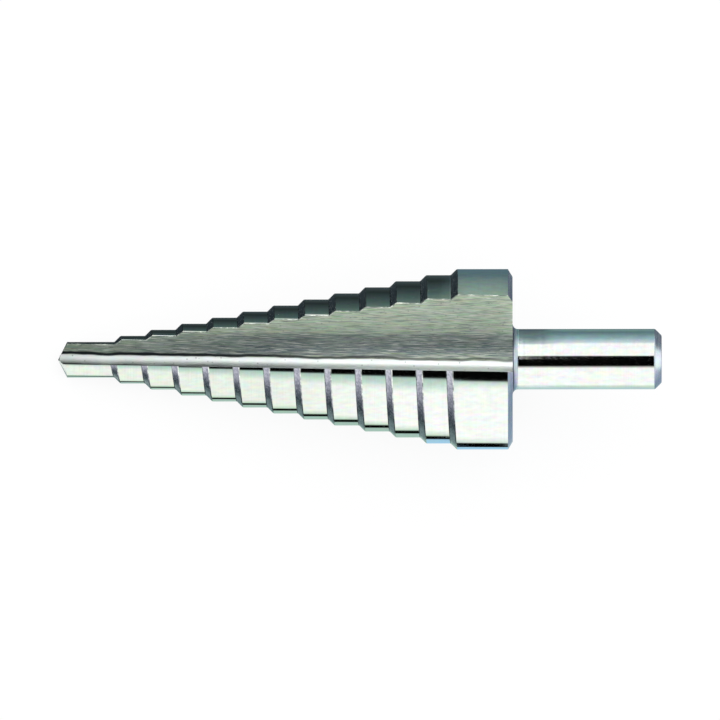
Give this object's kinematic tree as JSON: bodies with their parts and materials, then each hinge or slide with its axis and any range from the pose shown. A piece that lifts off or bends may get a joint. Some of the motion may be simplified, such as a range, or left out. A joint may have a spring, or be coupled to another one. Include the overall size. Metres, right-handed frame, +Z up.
{
  "type": "step drill",
  "caption": "Conical step drill with two straight flutes, a short pilot point and a plain round shank, lying on its side.",
  "frame": {"origin": "centre of the bounding box at the surface that the drill lies on", "axes": "+Z up, +X along the drill's length with the point towards -X and the shank towards +X; the drill rests on one flute, nose down"},
  "size_m": [0.0992, 0.03, 0.028],
  "materials": {
    "tool_steel": "bright ground tool steel, polished lands and shank, scratched flute walls"
  },
  "bodies": {
    "root": {"step_drill": "tool_steel"}
  },
  "joints": []
}
